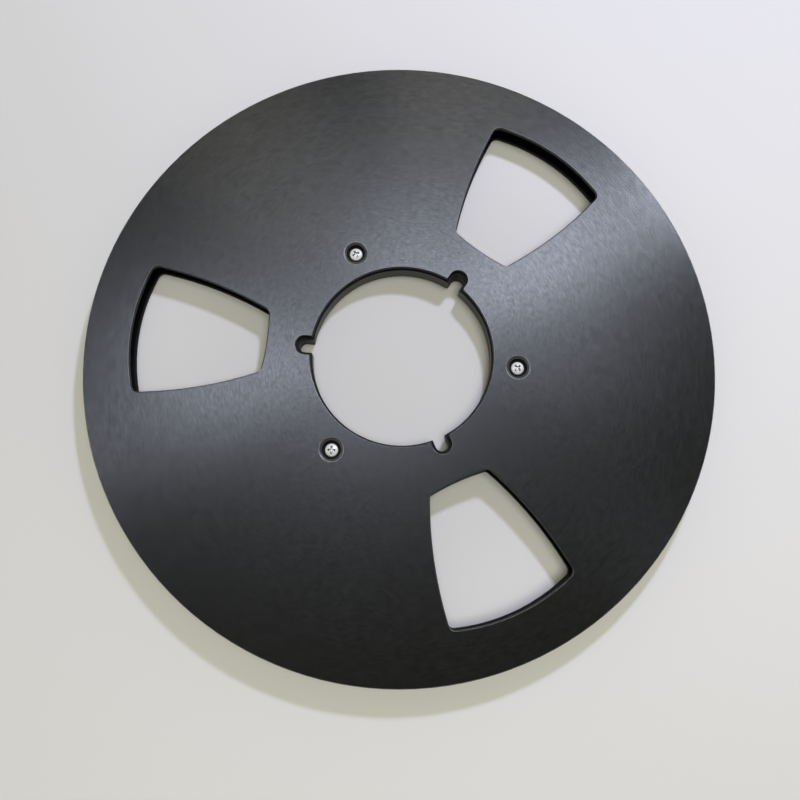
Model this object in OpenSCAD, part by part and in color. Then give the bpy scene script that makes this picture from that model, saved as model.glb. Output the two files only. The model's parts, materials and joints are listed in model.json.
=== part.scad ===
// Large-hole metal tape reel for quarter-inch tape.
// Two black flanges with three windows each are screwed to a ring hub, which the tape is wound on.
// The reel lies flat: its axis is Z, and the outer face of the rear flange is z = 0.
// One window, one drive notch and one hub slot point along +Y.

/* [Reel] */
// Diameter of both flanges
reel_d = 266.7; // [260:0.1:280]
// Thickness of one flange
flange_t = 2.2; // [1.8:0.1:2.6]
// Width of the hub, which is the room for the tape
hub_w = 8.1; // [7.5:0.1:9]
// Width of the broken edge round the rim, the windows and the centre hole
edge_break = 0.5; // [0.1:0.05:0.6]

/* [Windows] */
// Radius from the axis to the middle of the inner edge
window_inner_r = 57.5; // [57.5:0.1:60]
// Radius from the axis to the middle of the outer edge
window_outer_r = 114.7; // [110:0.1:120]
// Width between the inner corners, before they are rounded
window_inner_w = 26.6; // [22:0.1:28]
// Width between the outer corners, before they are rounded
window_outer_w = 55.2; // [50:0.1:60]
// Radius of the inner edge, which bulges towards the axis
inner_arc_r = 100; // [80:1:140]
// Radius of the outer edge, which bulges towards the rim
outer_arc_r = 80.5; // [70:0.5:100]
// Radius of the two sides, which bulge outwards
side_arc_r = 163; // [140:1:220]
// Radius of the inner corners
inner_corner_r = 1.5; // [1:0.1:3]
// Radius of the outer corners
outer_corner_r = 3; // [2:0.1:5]

/* [Front flange's centre hole] */
// Diameter of the hole
front_bore_d = 77.4; // [77:0.1:79]
// Width of the drive notches
front_notch_w = 7.5; // [6.5:0.1:8]
// Radius from the axis to the notches' round ends
front_notch_end_r = 45.2; // [44.5:0.1:46]
// Radius of the corners where a notch opens into the hole
front_notch_corner_r = 1.4; // [0.8:0.1:1.6]

/* [Rear flange's centre hole] */
// Diameter of the hole
rear_bore_d = 77; // [77:0.1:77.4]
// Width of the drive notches
rear_notch_w = 5.8; // [5.7:0.1:6.4]
// Radius from the axis to the notches' round ends
rear_notch_end_r = 44.1; // [44:0.1:45]
// Radius of the corners where a notch opens into the hole
rear_notch_corner_r = 0.8; // [0.7:0.1:1.2]

/* [Hub] */
// Diameter that the tape is wound on
hub_d = 114.3; // [113:0.1:114.6]
// Bore that seats on the machine's adaptor
hub_bore_d = 76.2; // [76:0.05:76.4]
// Width of the three drive slots
slot_w = 5.6; // [5:0.1:5.7]
// Radius from the axis to the slots' round ends
slot_end_r = 44; // [43:0.1:44]
// Width of the broken edges round the hub's rim and bore
hub_break = 0.25; // [0.25:0.05:0.4]
// Width of the drive slots' broken edges
slot_break = 0.2; // [0.1:0.05:0.2]

/* [Screws] */
// Radius of the circle that the screws stand on
screw_circle_r = 49.4; // [49.2:0.1:49.6]
// Diameter of the pan head
head_d = 5.5; // [5:0.1:6]
// Height of the pan head
head_h = 2; // [1.8:0.1:2.2]
// Radius of the head's dome
dome_r = 3.6; // [3.4:0.1:5]
// Diameter of the shank
shank_d = 3; // [2.5:0.1:3]
// Length of the cross recess, tip to tip
cross_l = 3; // [2.4:0.1:3.4]
// Width of the cross recess
cross_w = 0.75; // [0.5:0.05:0.9]
// Depth of the cross recess
cross_depth = 1.2; // [0.8:0.1:1.4]

/* [Screw cups] */
// Diameter of the cup that a head sits in
cup_d = 8; // [7.2:0.1:8.2]
// Diameter of the cup's flared mouth
cup_mouth_d = 10.5; // [9.5:0.1:10.6]
// Depth of the flared mouth
cup_mouth_depth = 0.8; // [0.4:0.1:1.2]
// Depth from the flange's outer face to the seat under the head
cup_depth = 3.2; // [3:0.1:3.3]
// Thickness of the cup's floor
cup_floor = 0.8; // [0.6:0.1:0.9]
// Outer diameter of the cup where it stands out of the flange's inner face
cup_outer_d = 9.8; // [9.4:0.1:10]
// Diameter of the hole in the cup's floor
floor_hole_d = 3.4; // [3.2:0.1:3.6]

/* [Hidden] */
$fa = 1;
$fs = 0.3;
fold = 3;           // windows, drive slots and screws on each side
eps = 0.01;         // how far a cut runs past the face that it opens
cup_gap = 0.1;      // room round and under a cup in the hub's pocket
thread_gap = 0.05;  // radial room of the plain shank in the hub's hole

reel_r = reel_d / 2;
reel_w = hub_w + 2 * flange_t;
window_az = 90;
screw_az = window_az - 180 / fold;
cup_drop = cup_depth + cup_floor - flange_t; // how far a cup stands out of the inner face
shank_len = reel_w / 2 - cup_depth - cup_gap / 2; // opposite screws stop just short of each other

// Repeats its children round the axis, first at the angle az
module around(az) {
    for (i = [0 : fold - 1])
        rotate(az + i * 360 / fold) children();
}

// Frustum of height h on a point p, whose radius goes from r + g1 to r + g2
module disc(p, r, h, g1, g2) {
    translate([p[0], p[1], 0])
        cylinder(r1 = r + g1, r2 = r + g2, h = h);
}

// Cuts a hole through the flange and breaks its edges at both faces.
// Its child is a layer of the hole: height $h, grown by $g1 at the bottom and by $g2 at the top.
module edged_hole(t, c) {
    translate([0, 0, -eps])
        let ($h = t + 2 * eps, $g1 = 0, $g2 = 0) children();
    translate([0, 0, -eps])
        let ($h = c + eps, $g1 = c + eps, $g2 = 0) children();
    translate([0, 0, t - c])
        let ($h = c + eps, $g1 = 0, $g2 = c + eps) children();
}

// A window is what four round discs have in common, so all its sides bulge.
// Each disc is [x, y, radius], and the window's middle line is the Y axis.
outer_disc = [0, window_outer_r - outer_arc_r, outer_arc_r];
inner_disc = [0, window_inner_r + inner_arc_r, inner_arc_r];

// Corners of the window's right side, before they are rounded
inner_x = window_inner_w / 2;
outer_x = window_outer_w / 2;
inner_corner = [inner_x, inner_disc[1] - sqrt(pow(inner_arc_r, 2) - pow(inner_x, 2))];
outer_corner = [outer_x, outer_disc[1] + sqrt(pow(outer_arc_r, 2) - pow(outer_x, 2))];

// Disc of radius r whose edge runs through p and q, with its centre to the left of p to q
function disc_through(p, q, r) =
    let (
        run = q - p,
        left = [-run[1], run[0]] / norm(run),
        back = sqrt(r * r - run * run / 4),
        centre = (p + q) / 2 + left * back
    ) [centre[0], centre[1], r];

right_disc = disc_through(inner_corner, outer_corner, side_arc_r);
left_disc = [-right_disc[0], right_disc[1], right_disc[2]];

// Centre of a corner of radius r that touches discs a and b from inside, left of a to b if side is 1
function corner_centre(a, b, r, side) =
    let (
        ra = a[2] - r,
        rb = b[2] - r,
        gap = norm([b[0] - a[0], b[1] - a[1]]),
        ux = (b[0] - a[0]) / gap,
        uy = (b[1] - a[1]) / gap,
        along = (ra * ra - rb * rb + gap * gap) / (2 * gap),
        across = side * sqrt(ra * ra - along * along)
    ) [a[0] + ux * along - uy * across, a[1] + uy * along + ux * across];

// Unit vector from the centre of disc d to the point p
function away(d, p) = [p[0] - d[0], p[1] - d[1]] / norm([p[0] - d[0], p[1] - d[1]]);

outer_round = corner_centre(right_disc, outer_disc, outer_corner_r, 1);
inner_round = corner_centre(right_disc, inner_disc, inner_corner_r, -1);

// Prism over the sharp tip that a rounded corner at o, between discs a and b, takes off
module corner_tip(o, a, b, r) {
    na = away(a, o);
    nb = away(b, o);
    translate([0, 0, -eps])
        linear_extrude($h + 2 * eps)
            polygon([o, o + 2 * r * na, o + 2 * r * (na + nb), o + 2 * r * nb]);
}

module window_layer() {
    difference() {
        intersection() {
            disc(outer_disc, outer_arc_r, $h, $g1, $g2);
            disc(inner_disc, inner_arc_r, $h, $g1, $g2);
            disc(right_disc, side_arc_r, $h, $g1, $g2);
            disc(left_disc, side_arc_r, $h, $g1, $g2);
        }
        for (side = [0, 1])
            mirror([side, 0, 0]) {
                corner_tip(outer_round, right_disc, outer_disc, outer_corner_r);
                corner_tip(inner_round, right_disc, inner_disc, inner_corner_r);
            }
    }
    for (side = [0, 1])
        mirror([side, 0, 0]) {
            disc(outer_round, outer_corner_r, $h, $g1, $g2);
            disc(inner_round, inner_corner_r, $h, $g1, $g2);
        }
}

// Layer of a slot along +Y, which starts inside a bore of radius bore_r and has a round outer end
module slot_layer(bore_r, w, end_r) {
    half = w / 2;
    start_y = bore_r - w;
    end_y = end_r - half;
    translate([0, start_y, 0])
        rotate([-90, 0, 0])
            linear_extrude(end_y - start_y)
                polygon([
                    [-half - $g1, 0], [half + $g1, 0],
                    [half + $g2, -$h], [-half - $g2, -$h]
                ]);
    disc([0, end_y], half, $h, $g1, $g2);
}

// Layer that rounds the corners where a slot of width w opens into a bore of radius bore_r.
// A prism takes the sharp corner off as far as a round post, and its other sides are in the open.
module slot_corner_layer(bore_r, w, r) {
    post_x = w / 2 + r;
    post_y = sqrt(pow(bore_r + r, 2) - post_x * post_x);
    slot_x = (w - r) / 2;
    inner = [post_x, post_y] * (bore_r - r) / (bore_r + r);
    for (side = [0, 1])
        mirror([side, 0, 0])
            difference() {
                linear_extrude($h)
                    polygon([[slot_x, post_y], [post_x, post_y], inner, [slot_x, inner[1]]]);
                disc([post_x, post_y], r, $h, -$g1, -$g2);
            }
}

// Flange with its outer face up, at z = flange_t, and its screw cups standing below z = 0
module flange(bore_d, notch_w, notch_end_r, notch_corner_r) {
    difference() {
        sharp_notch_flange(bore_d / 2, notch_w, notch_end_r);
        around(window_az - 90)
            edged_hole(flange_t, edge_break)
                slot_corner_layer(bore_d / 2, notch_w, notch_corner_r);
    }
}

// The same flange before the corners of its drive notches are rounded
module sharp_notch_flange(bore_r, notch_w, notch_end_r) {
    c = edge_break;
    difference() {
        union() {
            rotate_extrude()
                polygon([
                    [1, 0], [reel_r - c, 0], [reel_r, c],
                    [reel_r, flange_t - c], [reel_r - c, flange_t], [1, flange_t]
                ]);
            around(screw_az)
                translate([screw_circle_r, 0, -cup_drop])
                    cylinder(d = cup_outer_d, h = cup_drop + eps);
        }
        edged_hole(flange_t, c)
            disc([0, 0], bore_r, $h, $g1, $g2);
        around(window_az - 90)
            edged_hole(flange_t, c)
                window_layer();
        around(window_az - 90)
            edged_hole(flange_t, c)
                slot_layer(bore_r, notch_w, notch_end_r);
        around(screw_az)
            translate([screw_circle_r, 0, 0])
                cup_cavity();
    }
}

// Room that a screw's head and shank take in the flange
module cup_cavity() {
    slope = (cup_mouth_d - cup_d) / 2 / cup_mouth_depth;
    translate([0, 0, flange_t - cup_depth])
        cylinder(d = cup_d, h = cup_depth + eps);
    translate([0, 0, flange_t - cup_mouth_depth])
        cylinder(
            d1 = cup_d,
            d2 = cup_mouth_d + 2 * slope * eps,
            h = cup_mouth_depth + eps
        );
    translate([0, 0, -cup_drop - eps])
        cylinder(d = floor_hole_d, h = cup_floor + 2 * eps);
}

module front_flange() {
    color([0.16, 0.16, 0.17])
        translate([0, 0, reel_w - flange_t])
            flange(front_bore_d, front_notch_w, front_notch_end_r, front_notch_corner_r);
}

module rear_flange() {
    color([0.16, 0.16, 0.17])
        translate([0, 0, flange_t])
            mirror([0, 0, 1])
                flange(rear_bore_d, rear_notch_w, rear_notch_end_r, rear_notch_corner_r);
}

// Ring between the flanges, slotted for the adaptor's keys and pocketed for the screw cups
module hub() {
    c = hub_break;
    pocket_d = cup_outer_d + 2 * cup_gap;
    pocket_depth = cup_drop + cup_gap;
    outer_r = hub_d / 2;
    inner_r = hub_bore_d / 2;
    color([0.22, 0.22, 0.23])
        translate([0, 0, flange_t])
            difference() {
                rotate_extrude()
                    polygon([
                        [inner_r + c, 0], [outer_r - c, 0], [outer_r, c],
                        [outer_r, hub_w - c], [outer_r - c, hub_w], [inner_r + c, hub_w],
                        [inner_r, hub_w - c], [inner_r, c]
                    ]);
                around(window_az - 90)
                    edged_hole(hub_w, slot_break)
                        slot_layer(inner_r, slot_w, slot_end_r);
                around(screw_az)
                    translate([screw_circle_r, 0, 0]) {
                        for (z = [-eps, hub_w - pocket_depth])
                            translate([0, 0, z])
                                cylinder(d = pocket_d, h = pocket_depth + eps);
                        translate([0, 0, -eps])
                            cylinder(d = shank_d + 2 * thread_gap, h = hub_w + 2 * eps);
                    }
            }
}

// Pan-head screw pointing down, with the seat of its head at z = 0
module screw(turn) {
    color([0.82, 0.82, 0.84])
        rotate(turn)
            difference() {
                union() {
                    intersection() {
                        cylinder(d = head_d, h = head_h);
                        translate([0, 0, head_h - dome_r])
                            sphere(r = dome_r);
                    }
                    translate([0, 0, -shank_len])
                        cylinder(d = shank_d, h = shank_len + eps);
                }
                translate([0, 0, head_h - cross_depth])
                    linear_extrude(cross_depth + eps) {
                        square([cross_l, cross_w], center = true);
                        square([cross_w, cross_l], center = true);
                    }
            }
}

// Screw i of a side, counted from 1, in its place on the screw circle
module front_screw(i, turn) {
    rotate(screw_az + (i - 1) * 360 / fold)
        translate([screw_circle_r, 0, reel_w - cup_depth])
            screw(turn);
}

module rear_screw(i, turn) {
    rotate(screw_az + (i - 1) * 360 / fold)
        translate([screw_circle_r, 0, cup_depth])
            mirror([0, 0, 1])
                screw(turn);
}

front_flange();
rear_flange();
hub();
front_screw(1, 51);  // front_screw_1
front_screw(2, 4);  // front_screw_2
front_screw(3, 34);  // front_screw_3
rear_screw(1, 20);  // rear_screw_1
rear_screw(2, 72);  // rear_screw_2
rear_screw(3, 40);  // rear_screw_3
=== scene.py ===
import json
import math

import bpy
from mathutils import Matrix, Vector

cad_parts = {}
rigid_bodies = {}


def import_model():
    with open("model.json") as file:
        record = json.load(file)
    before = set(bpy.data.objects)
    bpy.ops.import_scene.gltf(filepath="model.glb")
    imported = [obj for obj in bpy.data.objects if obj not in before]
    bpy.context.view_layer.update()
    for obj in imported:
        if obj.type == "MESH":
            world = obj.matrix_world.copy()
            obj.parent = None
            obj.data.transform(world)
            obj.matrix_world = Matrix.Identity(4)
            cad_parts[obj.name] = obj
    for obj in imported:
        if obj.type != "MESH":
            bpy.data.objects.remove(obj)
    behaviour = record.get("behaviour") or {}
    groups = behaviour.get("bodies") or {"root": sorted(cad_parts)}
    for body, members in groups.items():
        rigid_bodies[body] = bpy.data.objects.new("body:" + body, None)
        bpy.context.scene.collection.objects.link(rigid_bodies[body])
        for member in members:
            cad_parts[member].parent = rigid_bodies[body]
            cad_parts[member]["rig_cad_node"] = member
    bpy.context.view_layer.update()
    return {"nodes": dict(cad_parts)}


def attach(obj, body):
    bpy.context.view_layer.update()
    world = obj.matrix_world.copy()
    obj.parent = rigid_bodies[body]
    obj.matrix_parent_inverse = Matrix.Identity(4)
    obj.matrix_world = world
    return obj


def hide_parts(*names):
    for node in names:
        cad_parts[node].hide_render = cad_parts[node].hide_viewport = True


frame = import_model()
mm = 0.001

# The photograph's camera. The reel's frame has a window on +Y, so the view is turned about the axis.
# Angles in this file are in degrees, and lengths in metres unless a note says millimetres.
photoTurn = 35.9
camera = {
    "location": (45.2 * mm, -67.0 * mm, 384.3 * mm),
    "tilt": 13.09,
    "roll": -1.50,
    "sensor": 36,  # millimetres, as is the lens
    "lens": 40.5,
    "shift": (-0.0233, -0.0727),
    "clip": (0.01, 50),
}

# Pale floor. Its colour is painted shade and painted light: darker near the reel, and lighter away
# from it and towards one side of the picture.
floorLook = {
    "radius": 8.0,
    "sides": 96,
    "height": -0.1 * mm,
    "colour": (0.80, 0.795, 0.785),
    "roughness": 0.8,
    "gloss": 0.1,
    "awayReach": (0.03, 0.17),
    "awayPaleness": (0.90, 1.06),
    "paintedLightSide": -65,
    "sideReach": (-0.20, 0.20),
    "sidePaleness": (0.94, 1.12),
}
room = {
    "wallColour": (0.42, 0.415, 0.40),
    "ceilingColour": (0.143, 0.132, 0.082),
    "wallTop": (0.20, 0.42),
}

# Soft studio light. A direction is as seen in the picture: azimuth from its right, height above the
# floor. The gloss lights show only as reflections, and the floor lights light only what is matt.
tints = {
    "cool": (0.93, 0.97, 1.10),
    "warm": (1.08, 1.03, 0.88),
    "blue": (0.86, 0.88, 1.26),
    "cream": (1.03, 1.03, 0.92),
}
glossDistance = 1.2
glossLights = {
    "key": {"azimuth": 45, "height": 48, "size": 0.20, "power": 3.76, "tint": "cool"},
    "right": {"azimuth": -15, "height": 66, "size": 0.20, "power": 0.06, "tint": "cool"},
    "left": {"azimuth": 180, "height": 54, "size": 0.20, "power": 1.20, "tint": "cool"},
    "top1": {"azimuth": 45, "height": 72, "size": 0.20, "power": 0.24, "tint": "cool"},
    "top2": {"azimuth": 60, "height": 66, "size": 0.20, "power": 1.28, "tint": "cool"},
    "top3": {"azimuth": 85, "height": 72, "size": 0.20, "power": 1.00, "tint": "cool"},
    "top4": {"azimuth": 105, "height": 78, "size": 0.20, "power": 0.53, "tint": "cool"},
    "top5": {"azimuth": 125, "height": 72, "size": 0.20, "power": 0.20, "tint": "cool"},
    "top6": {"azimuth": 145, "height": 72, "size": 0.20, "power": 0.83, "tint": "cool"},
    "far1": {"azimuth": 82, "height": 54, "size": 0.30, "power": 0.34, "tint": "warm"},
    "far2": {"azimuth": 112, "height": 60, "size": 0.30, "power": 0.26, "tint": "warm"},
}
floorDistance = 0.7
floorLights = {
    "floorKey": {"azimuth": 66, "height": 50, "size": 0.07, "power": 1.86, "tint": "blue"},
    # a soft sun, whose power is in watts per square metre
    "floorFill": {"azimuth": 325, "height": 82, "angle": 32, "power": 1.24, "tint": "cream"},
}


def newMaterial(name):
    material = bpy.data.materials.new(name)
    material.use_nodes = True
    return material, material.node_tree, material.node_tree.nodes["Principled BSDF"]


def addNode(tree, kind, **settings):
    node = tree.nodes.new(kind)
    for name, value in settings.items():
        setattr(node, name, value)
    return node


def feed(tree, value, socket):
    # a socket takes either another node's output or a plain value
    if isinstance(value, bpy.types.NodeSocket):
        tree.links.new(value, socket)
    else:
        socket.default_value = value


def calculate(tree, operation, *values):
    node = addNode(tree, "ShaderNodeMath", operation=operation)
    for value, socket in zip(values, node.inputs):
        feed(tree, value, socket)
    return node.outputs[0]


def vectorOf(tree, operation, *values):
    # a length and a dot product come out as a number, and the rest as a vector
    node = addNode(tree, "ShaderNodeVectorMath", operation=operation)
    for value, socket in zip(values, node.inputs):
        feed(tree, value, socket)
    return node.outputs["Value" if operation in ("LENGTH", "DOT_PRODUCT") else "Vector"]


def inRange(tree, value, reach, results=(0, 1), kind="LINEAR"):
    # maps one range to another and stops at its ends
    node = addNode(tree, "ShaderNodeMapRange", interpolation_type=kind)
    feed(tree, value, node.inputs["Value"])
    for name, number in zip(("From Min", "From Max", "To Min", "To Max"), (*reach, *results)):
        node.inputs[name].default_value = number
    return node.outputs["Result"]


def addCamera():
    angles = (math.radians(a) for a in (camera["tilt"], camera["roll"], photoTurn))
    bpy.ops.object.camera_add(location=camera["location"], rotation=tuple(angles))
    view = bpy.context.object
    view.name = "photoCamera"
    view.data.sensor_width = camera["sensor"]
    view.data.lens = camera["lens"]
    view.data.shift_x, view.data.shift_y = camera["shift"]
    view.data.clip_start, view.data.clip_end = camera["clip"]
    bpy.context.scene.camera = view


def addFloor():
    bpy.ops.mesh.primitive_circle_add(
        vertices=floorLook["sides"],
        radius=floorLook["radius"],
        fill_type="NGON",
        location=(0, 0, floorLook["height"]),
    )
    floor = bpy.context.object
    floor.name = "floor"
    material, tree, shader = newMaterial("paleFloor")
    coords = addNode(tree, "ShaderNodeTexCoord").outputs["Object"]
    away = vectorOf(tree, "LENGTH", coords)
    side = math.radians(floorLook["paintedLightSide"] + photoTurn)
    toSide = vectorOf(tree, "DOT_PRODUCT", coords, (math.cos(side), math.sin(side), 0))
    # painted shade near the reel, times painted light towards one side
    paintedLightAndShade = calculate(
        tree,
        "MULTIPLY",
        inRange(tree, away, floorLook["awayReach"], floorLook["awayPaleness"], "SMOOTHSTEP"),
        inRange(tree, toSide, floorLook["sideReach"], floorLook["sidePaleness"], "SMOOTHSTEP"),
    )
    feed(tree, vectorOf(tree, "MULTIPLY", floorLook["colour"], paintedLightAndShade), shader.inputs["Base Color"])
    shader.inputs["Roughness"].default_value = floorLook["roughness"]
    shader.inputs["Specular IOR Level"].default_value = floorLook["gloss"]
    floor.data.materials.append(material)


def addRoom():
    # pale walls round a dim ceiling
    world = bpy.data.worlds.new("room")
    bpy.context.scene.world = world
    world.use_nodes = True
    tree = world.node_tree
    split = addNode(tree, "ShaderNodeSeparateXYZ")
    feed(tree, addNode(tree, "ShaderNodeTexCoord").outputs["Generated"], split.inputs[0])
    ramp = addNode(tree, "ShaderNodeValToRGB")
    ramp.color_ramp.interpolation = "EASE"
    colours = (room["wallColour"], room["ceilingColour"])
    for stop, place, colour in zip(ramp.color_ramp.elements, room["wallTop"], colours):
        stop.position = place
        stop.color = (*colour, 1)
    feed(tree, split.outputs["Z"], ramp.inputs[0])
    feed(tree, ramp.outputs[0], tree.nodes["Background"].inputs["Color"])


def addLight(name, light, distance, inGloss):
    azimuth = math.radians(light["azimuth"] + photoTurn)
    height = math.radians(light["height"])
    flat = math.cos(height)
    away = Vector((flat * math.cos(azimuth), flat * math.sin(azimuth), math.sin(height)))
    isSun = "angle" in light
    bpy.ops.object.light_add(type="SUN" if isSun else "AREA", location=away * distance)
    lamp = bpy.context.object
    lamp.name = name + "Light"
    lamp.rotation_euler = away.to_track_quat("Z", "Y").to_euler()
    if isSun:
        lamp.data.angle = math.radians(light["angle"])
    else:
        lamp.data.shape = "DISK"
        lamp.data.size = light["size"]
    lamp.data.energy = light["power"]
    lamp.data.color = tints[light["tint"]]
    lamp.visible_diffuse = not inGloss
    lamp.visible_glossy = inGloss


bpy.context.scene.view_settings.view_transform = "Standard"
addCamera()
addFloor()
addRoom()
for name, light in glossLights.items():
    addLight(name, light, glossDistance, True)
for name, light in floorLights.items():
    addLight(name, light, floorDistance, False)
print("camera, floor and lights are in")

# Black anodised aluminium, brushed in circles round the axis
blackFinish = {
    "colour": (0.0525, 0.0538, 0.0565),
    "spread": 0.22,
    "roughness": 0.24,
    "roughnessSpread": 0.006,
    "anisotropy": 0.60,
    "grainWidth": 0.6 * mm,
    "grainsPerRadian": 30.0,
    "mottleWidth": 2.4 * mm,
    "mottlesPerRadian": 30.0,
    "mottleShare": 0.36,
    "grainBump": 0.0008 * mm,
}
# Its broken edges, the lips round the screws, the walls and the cups, which aren't brushed. The edges
# and lips are lighter, partly for thinner anodising and partly as painted highlight; the walls and
# cups are near black, their own black anodising deepened by painted shade.
edgeWearAndHighlightFinish = {
    "colour": (0.085, 0.087, 0.092),
    "metallic": 1.0,
    "roughness": 0.30,
    "gloss": 0.5,
    "grain": 0.5 * mm,
    "unevenness": 0.2,
}
# lighter than the face: partly thinner anodising on the lips, partly painted highlight
lipWearAndHighlightFinish = {
    "colour": (0.15, 0.153, 0.16),
    "metallic": 1.0,
    "roughness": 0.42,
    "gloss": 0.5,
    "grain": 0.4 * mm,
    "unevenness": 0.2,
}
# near black: the walls' own black anodising deepened by painted shade
wallShadeFinish = {
    "colour": (0.006, 0.006, 0.006),
    "metallic": 0.0,
    "roughness": 0.50,
    "gloss": 0.15,
    "grain": 0.5 * mm,
    "unevenness": 0.2,
}
# near black: the cups' own black anodising deepened by painted shade
cupShadeFinish = {
    "colour": (0.008, 0.008, 0.008),
    "metallic": 0.0,
    "roughness": 0.60,
    "gloss": 0.15,
    "grain": 0.5 * mm,
    "unevenness": 0.2,
}
noiseReach = 0.25  # noise seldom strays further from its middle
glossUnevenness = 0.1  # share of an unbrushed finish's roughness


def colourRound(tree, factor, colour, spread):
    # darker than the colour by its spread where the factor is 0, and lighter by it where it is 1
    node = addNode(tree, "ShaderNodeMix", data_type="RGBA")
    for socket, sign in ((6, -1), (7, 1)):  # the two colour sockets
        node.inputs[socket].default_value = (*((1 + sign * spread) * c for c in colour), 1)
    feed(tree, factor, node.inputs["Factor"])
    return node.outputs[2]


def roughnessRound(tree, factor, roughness, spread):
    rougher = calculate(tree, "MULTIPLY", factor, 2 * spread)
    return calculate(tree, "ADD", rougher, roughness - spread)


def roundTheAxis(tree):
    # returns the way across the grain, and unit vectors out from the axis and round it
    coords = addNode(tree, "ShaderNodeTexCoord").outputs["Object"]
    split = addNode(tree, "ShaderNodeSeparateXYZ")
    feed(tree, coords, split.inputs[0])
    flat = vectorOf(tree, "MULTIPLY", coords, (1, 1, 0))
    # radius and height together, so that the grain also crosses a wall
    across = calculate(tree, "ADD", vectorOf(tree, "LENGTH", flat), split.outputs["Z"])
    outward = vectorOf(tree, "NORMALIZE", flat)
    sideways = vectorOf(tree, "CROSS_PRODUCT", (0, 0, 1), outward)
    return across, outward, sideways


def circularGrain(tree, across, outward, width, perRadian, detail):
    # noise that changes fast across the grain and slowly round the axis
    place = addNode(tree, "ShaderNodeSeparateXYZ")
    feed(tree, outward, place.inputs[0])
    grain = addNode(tree, "ShaderNodeCombineXYZ")
    feed(tree, calculate(tree, "DIVIDE", across, width), grain.inputs["X"])
    feed(tree, calculate(tree, "MULTIPLY", place.outputs["X"], perRadian), grain.inputs["Y"])
    feed(tree, calculate(tree, "MULTIPLY", place.outputs["Y"], perRadian), grain.inputs["Z"])
    noise = addNode(tree, "ShaderNodeTexNoise")
    noise.inputs["Scale"].default_value = 1.0
    noise.inputs["Detail"].default_value = detail
    feed(tree, grain.outputs[0], noise.inputs["Vector"])
    return noise.outputs["Fac"]


def turnedMetal(name, finish):
    # brushed or turned metal, with a fine grain and a broader mottle drawn out round the axis
    material, tree, shader = newMaterial(name)
    across, outward, sideways = roundTheAxis(tree)
    fine = circularGrain(
        tree, across, outward, finish["grainWidth"], finish["grainsPerRadian"], detail=2.0
    )
    mottle = circularGrain(
        tree, across, outward, finish["mottleWidth"], finish["mottlesPerRadian"], detail=1.0
    )
    both = calculate(tree, "MULTIPLY_ADD", mottle, finish["mottleShare"], fine)
    middle = (1 + finish["mottleShare"]) / 2
    grain = inRange(tree, both, (middle - noiseReach, middle + noiseReach))
    colour = colourRound(tree, grain, finish["colour"], finish["spread"])
    feed(tree, colour, shader.inputs["Base Color"])
    roughness = roughnessRound(tree, mottle, finish["roughness"], finish["roughnessSpread"])
    feed(tree, roughness, shader.inputs["Roughness"])
    shader.inputs["Metallic"].default_value = 1.0
    shader.inputs["Anisotropic"].default_value = finish["anisotropy"]
    # highlights stretch across the grooves, which run round the axis
    normal = addNode(tree, "ShaderNodeNewGeometry").outputs["Normal"]
    feed(tree, vectorOf(tree, "CROSS_PRODUCT", normal, sideways), shader.inputs["Tangent"])
    bump = addNode(tree, "ShaderNodeBump")
    bump.inputs["Strength"].default_value = 1.0
    bump.inputs["Distance"].default_value = finish["grainBump"]
    feed(tree, fine, bump.inputs["Height"])
    feed(tree, bump.outputs[0], shader.inputs["Normal"])
    return material


def mottledMetal(name, finish):
    # anodised or plated metal with a fine unevenness of colour and gloss, and no brushing
    material, tree, shader = newMaterial(name)
    noise = addNode(tree, "ShaderNodeTexNoise")
    noise.inputs["Scale"].default_value = 1 / finish["grain"]
    feed(tree, addNode(tree, "ShaderNodeTexCoord").outputs["Object"], noise.inputs["Vector"])
    grain = noise.outputs["Fac"]
    colour = colourRound(tree, grain, finish["colour"], finish["unevenness"])
    feed(tree, colour, shader.inputs["Base Color"])
    spread = glossUnevenness * finish["roughness"]
    feed(tree, roughnessRound(tree, grain, finish["roughness"], spread), shader.inputs["Roughness"])
    shader.inputs["Metallic"].default_value = finish["metallic"]
    shader.inputs["Specular IOR Level"].default_value = finish["gloss"]
    return material


def selectOnly(thing):
    bpy.ops.object.select_all(action="DESELECT")
    thing.select_set(True)
    bpy.context.view_layer.objects.active = thing


def duplicateOf(thing, name):
    selectOnly(thing)
    bpy.ops.object.duplicate()
    copy = bpy.context.object
    copy.name = name
    return copy


def weld(distance):
    # the piece stays in edit mode
    bpy.ops.object.mode_set(mode="EDIT")
    bpy.ops.mesh.select_all(action="SELECT")
    bpy.ops.mesh.remove_doubles(threshold=distance)


# How the welded copies shade. Up is the upward part of a face's normal.
shading = {
    "weld": 0.00001 * mm,
    "sharpAngle": 50,
    "flatUp": 0.999,
    "nearlyUp": 0.5,
}


def flattenNormals(mesh):
    # Flat faces shade exactly flat, and the broken edges round off from them. Weighting alone leaves
    # some corners a little off, which shows as creases.
    normals = [corner.vector.copy() for corner in mesh.corner_normals]
    upright = {}
    for face in mesh.polygons:
        face.use_smooth = abs(face.normal.z) < shading["flatUp"]
        if not face.use_smooth:
            for vertex in face.vertices:
                upright[vertex] = math.copysign(1, face.normal.z)
            for corner in face.loop_indices:
                normals[corner] = face.normal
    for corner in mesh.loops:
        up = upright.get(corner.vertex_index, 0)
        if normals[corner.index].z * up > shading["nearlyUp"]:
            normals[corner.index] = (0, 0, up)
    mesh.normals_split_custom_set(normals)


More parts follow.
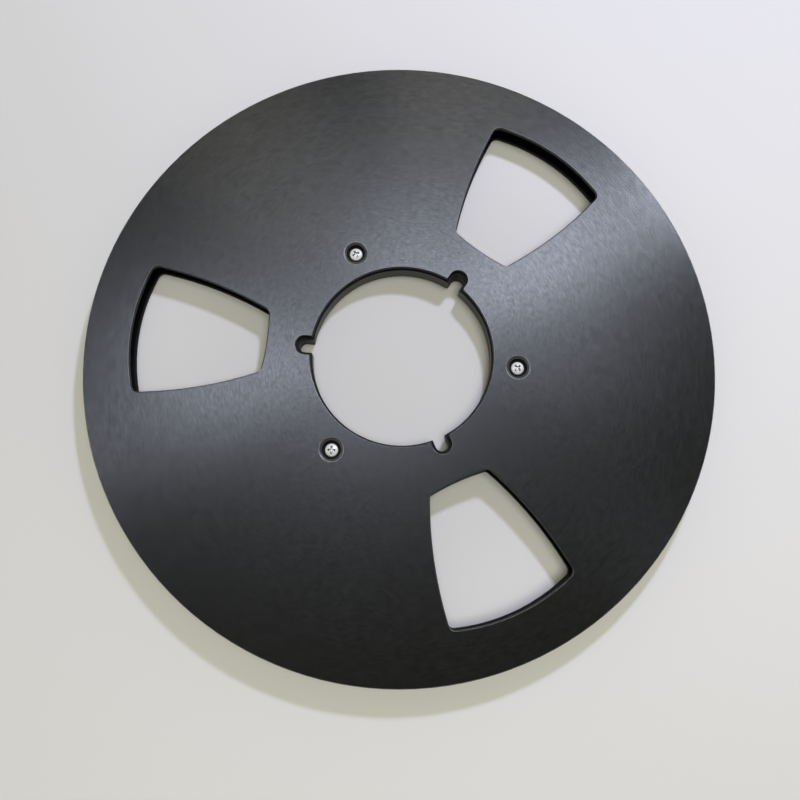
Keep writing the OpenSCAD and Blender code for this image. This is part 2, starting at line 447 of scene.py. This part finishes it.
def weldedCopy(node, name, materials):
    # A CAD mesh is loose triangles. Its copy is welded, so that the broken edges shade as round ones.
    piece = duplicateOf(frame["nodes"][node], name)
    piece.parent = None
    del piece["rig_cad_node"]
    weld(shading["weld"])
    bpy.ops.object.mode_set(mode="OBJECT")
    bpy.ops.object.shade_smooth_by_angle(angle=math.radians(shading["sharpAngle"]))
    bpy.ops.object.modifier_add(type="WEIGHTED_NORMAL")
    weighting = piece.modifiers[-1]
    weighting.mode = "FACE_AREA_WITH_ANGLE"
    weighting.keep_sharp = True
    bpy.ops.object.modifier_apply(modifier=weighting.name)
    flattenNormals(piece.data)
    piece.data.materials.clear()
    for material in materials:
        piece.data.materials.append(material)
    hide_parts(node)
    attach(piece, "root")
    return piece


# The three screws on each side, and the parts of a flange that take a finish each, in millimetres
screwCircle = {"radius": 49.4, "azimuths": (30, 150, 270)}
flange = {"cupRadius": 4.1, "lipRadius": 5.5, "faceUp": 0.99, "edgeUp": 0.3}
flangeFinishes = {
    "face": turnedMetal("brushedBlackAnodised", blackFinish),
    "edge": mottledMetal("blackBrokenEdge", edgeWearAndHighlightFinish),
    "wall": mottledMetal("blackWallShade", wallShadeFinish),
    "lip": mottledMetal("cupLipWearAndHighlight", lipWearAndHighlightFinish),
    "cup": mottledMetal("cupInsideShade", cupShadeFinish),
}


def onScrewCircle(azimuth):
    turn = math.radians(azimuth)
    return screwCircle["radius"] * math.cos(turn), screwCircle["radius"] * math.sin(turn)


def flangeFinish(place, up):
    # place is in millimetres, and up is the normal's share towards the flange's outer side
    # cups, walls and broken edges facing into the gap get painted shade; lips and outward broken
    # edges get painted highlight over thinner anodising
    fromScrew = min(math.dist(place, onScrewCircle(azimuth)) for azimuth in screwCircle["azimuths"])
    if fromScrew < flange["cupRadius"]:
        return "cup"
    if abs(up) > flange["faceUp"]:
        return "face"
    if fromScrew < flange["lipRadius"] and up > 0:
        return "lip"
    return "edge" if up > flange["edgeUp"] else "wall"


for side, up in (("front", 1), ("rear", -1)):
    piece = weldedCopy(f"{side}_flange", f"{side}Flange", flangeFinishes.values())
    for face in piece.data.polygons:
        place = (face.center.x / mm, face.center.y / mm)
        face.material_index = list(flangeFinishes).index(flangeFinish(place, up * face.normal.z))
print("flanges are done")

# Grey anodised ring. Its bore and the face that the tape winds on are turned. Its end faces, slots
# and pockets take the near-black wall finish, painted shade.
hubFinish = {
    "colour": (0.075, 0.075, 0.073),
    "spread": 0.10,
    "roughness": 0.50,
    "roughnessSpread": 0.02,
    "anisotropy": 0.3,
    "grainWidth": 0.18 * mm,
    "grainsPerRadian": 3.0,
    "mottleWidth": 2.0 * mm,
    "mottlesPerRadian": 10.0,
    "mottleShare": 0.3,
    "grainBump": 0.003 * mm,
}
hubPlaces = {"boreReach": 38.3 * mm, "windingReach": 56.0 * mm, "boreFacing": 0.95}

turned = turnedMetal("turnedGreyAnodised", hubFinish)
hub = weldedCopy("hub", "ringHub", (turned, flangeFinishes["wall"]))
for face in hub.data.polygons:
    outward = Vector((face.center.x, face.center.y))
    facing = abs(outward.normalized().dot(face.normal.xy))
    onBore = outward.length < hubPlaces["boreReach"] and facing > hubPlaces["boreFacing"]
    onWinding = outward.length > hubPlaces["windingReach"]
    face.material_index = 0 if onBore or onWinding else 1
print("hub is done")

# Pan-head screws with a cross recess, in millimetres. Heights are from the seat under the head, but
# the seats' own heights are from the reel's rear face.
screw = {
    "seatHeights": {"front": 9.3, "rear": 3.2},
    "crossTurns": {"front": (51, 4, 34), "rear": (20, 72, 40)},
    "sides": 32,
    "tipRadius": 1.05,
    "tipLength": 0.25,
    "shankLength": 3.0,
    "shankRadius": 1.38,
    "pitch": 0.5,
    "threadTurns": 5,
    "threadOffset": 0.11,
    "stepsPerTurn": 12,
    "stepsToFullDepth": 6,
    "neck": 0.12,
    "neckFlare": 0.1,
    "headRadius": 2.75,
    "headHeight": 2.0,
    "headEdge": 0.12,
    "sideHeight": 0.70,
    "shoulder": 0.45,
    "domeRadius": 4.6,
    "domeRings": 8,
    "smoothAngle": 35,
    "mend": 0.001,  # points closer than this are merged after the cuts
}
recess = {
    "length": 4.3,
    "width": 1.10,
    "depth": 1.25,
    "floorShare": 0.42,
    "overHead": 0.5,
    "lightCentre": 0.6,
    "margin": 0.06,
    "floorUp": 0.8,
}
zincFinish = {
    "colour": (0.94, 0.94, 0.95),
    "metallic": 0.2,
    "roughness": 0.40,
    "gloss": 0.5,
    "grain": 0.35 * mm,
    "unevenness": 0.05,
}
# darker than the zinc: painted shade in the cross recess
recessShadeFinish = {
    "colour": (0.10, 0.10, 0.105),
    "metallic": 0.5,
    "roughness": 0.5,
    "gloss": 0.5,
    "grain": 0.35 * mm,
    "unevenness": 0.2,
}


def nextRing(radius, height, last, shift=(0.0, 0.0)):
    # pulls the selected end face up to a new ring, given in millimetres; last is the ring before it
    oldRadius, oldHeight, oldShift = last
    step = (shift[0] - oldShift[0], shift[1] - oldShift[1], height - oldHeight)
    bpy.ops.mesh.extrude_region_move(TRANSFORM_OT_translate={"value": [mm * s for s in step]})
    grow = radius / oldRadius
    centre = (shift[0] * mm, shift[1] * mm, height * mm)
    bpy.ops.transform.resize(value=(grow, grow, 1), center_override=centre)
    return radius, height, shift


def domeHeight(radius):
    centre = screw["headHeight"] - screw["domeRadius"]
    return centre + math.sqrt(screw["domeRadius"] ** 2 - radius ** 2)


def threadedShank():
    # returns the last ring; the end face stays selected
    foot = -screw["shankLength"]
    shank = screw["shankRadius"]
    bpy.ops.object.select_all(action="DESELECT")
    bpy.ops.mesh.primitive_circle_add(
        vertices=screw["sides"],
        radius=screw["tipRadius"] * mm,
        fill_type="NGON",
        location=(0, 0, foot * mm),
    )
    bpy.ops.object.transform_apply(location=True)
    bpy.ops.object.mode_set(mode="EDIT")
    bpy.ops.mesh.select_mode(type="FACE")
    bpy.ops.mesh.select_all(action="SELECT")
    start = foot + screw["tipLength"]
    ring = nextRing(shank, start, (screw["tipRadius"], foot, (0.0, 0.0)))
    # a rolled thread is a round rod whose centre circles the axis as it climbs
    climb = screw["pitch"] / screw["stepsPerTurn"]
    for i in range(1, screw["threadTurns"] * screw["stepsPerTurn"] - 1):
        turn = 2 * math.pi * i / screw["stepsPerTurn"]
        offset = screw["threadOffset"] * min(1.0, i / screw["stepsToFullDepth"])
        shift = (offset * math.cos(turn), offset * math.sin(turn))
        ring = nextRing(shank, start + i * climb, ring, shift)
    ring = nextRing(shank, -screw["neck"], ring)
    return nextRing(shank + screw["neckFlare"], 0.0, ring)


def panHead(ring):
    # from under the head, up its side, over a small round shoulder and in across the dome
    side = screw["headRadius"]
    ring = nextRing(side - screw["headEdge"], 0.0, ring)
    ring = nextRing(side, screw["headEdge"], ring)
    ring = nextRing(side, screw["sideHeight"], ring)
    shoulder = side - screw["shoulder"]
    rise = domeHeight(shoulder) - screw["sideHeight"]
    for share in (0.25, 0.5, 0.75):
        angle = share * math.pi / 2
        radius = shoulder + screw["shoulder"] * math.cos(angle)
        ring = nextRing(radius, screw["sideHeight"] + rise * math.sin(angle), ring)
    for i in range(screw["domeRings"]):
        radius = shoulder * (1 - i / screw["domeRings"])
        ring = nextRing(radius, domeHeight(radius), ring)


def recessCutter(turn):
    # one bar of the cross, narrower and shorter at its floor
    height = recess["depth"] + recess["overHead"]
    middle = screw["headHeight"] + recess["overHead"] - height / 2
    bpy.ops.object.select_all(action="DESELECT")
    bpy.ops.mesh.primitive_cube_add(size=1, location=(0, 0, middle * mm))
    bar = bpy.context.object
    bar.scale = (recess["length"] * mm, recess["width"] * mm, height * mm)
    bar.rotation_euler = (0, 0, math.radians(turn))
    bpy.ops.object.transform_apply(location=True, rotation=True, scale=True)
    bpy.ops.object.mode_set(mode="EDIT")
    bpy.ops.mesh.select_mode(type="FACE")
    bpy.ops.mesh.select_all(action="DESELECT")
    bpy.ops.object.mode_set(mode="OBJECT")
    for face in bar.data.polygons:
        face.select = face.normal.z < -0.9  # the floor
    bpy.ops.object.mode_set(mode="EDIT")
    share = recess["floorShare"]
    bpy.ops.transform.resize(value=(share, share, 1))
    bpy.ops.object.mode_set(mode="OBJECT")
    return bar


def cutRecess(body):
    for turn in (0, 90):
        cutter = recessCutter(turn)
        selectOnly(body)
        bpy.ops.object.modifier_add(type="BOOLEAN")
        cut = body.modifiers[-1]
        cut.operation = "DIFFERENCE"
        cut.solver = "EXACT"
        cut.object = cutter
        bpy.ops.object.modifier_apply(modifier=cut.name)
        bpy.data.objects.remove(cutter)
    weld(screw["mend"] * mm)
    bpy.ops.mesh.dissolve_degenerate(threshold=screw["mend"] * mm)
    bpy.ops.object.mode_set(mode="OBJECT")


def inRecessShade(centre, up):
    # faces that get painted shade: near the axis and below the dome, but not the lit middle of the
    # floor; centre is in millimetres
    fromAxis = math.hypot(centre.x, centre.y)
    domeCentre = Vector((0, 0, screw["headHeight"] - screw["domeRadius"]))
    inHead = centre.z > screw["headHeight"] - recess["depth"] - recess["margin"]
    inCross = fromAxis < math.hypot(recess["length"], recess["width"]) / 2
    belowDome = (centre - domeCentre).length < screw["domeRadius"] - recess["margin"]
    isShaded = up < recess["floorUp"] or fromAxis > recess["lightCentre"]
    return inHead and inCross and belowDome and isShaded


def makeScrew():
    ring = threadedShank()
    panHead(ring)
    bpy.ops.mesh.select_all(action="SELECT")
    bpy.ops.mesh.normals_make_consistent(inside=False)
    bpy.ops.object.mode_set(mode="OBJECT")
    body = bpy.context.object
    cutRecess(body)
    body.data.materials.append(mottledMetal("brightZinc", zincFinish))
    body.data.materials.append(mottledMetal("recessZincShade", recessShadeFinish))
    for face in body.data.polygons:
        # painted shade in the recess, away from its lit middle
        face.material_index = 1 if inRecessShade(face.center / mm, face.normal.z) else 0
    bpy.ops.object.shade_smooth_by_angle(angle=math.radians(screw["smoothAngle"]))
    return body


pattern = makeScrew()
for side in ("front", "rear"):
    for i, azimuth in enumerate(screwCircle["azimuths"]):
        piece = duplicateOf(pattern, f"{side}Screw{i + 1}")
        x, y = onScrewCircle(azimuth)
        piece.location = (x * mm, y * mm, screw["seatHeights"][side] * mm)
        flip = math.pi if side == "rear" else 0
        turn = math.radians(azimuth + screw["crossTurns"][side][i])
        piece.rotation_euler = (flip, 0, turn)
        bpy.ops.object.transform_apply(location=True, rotation=True, scale=True)
        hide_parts(f"{side}_screw_{i + 1}")
        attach(piece, "root")
bpy.data.objects.remove(pattern)
print("screws are done")
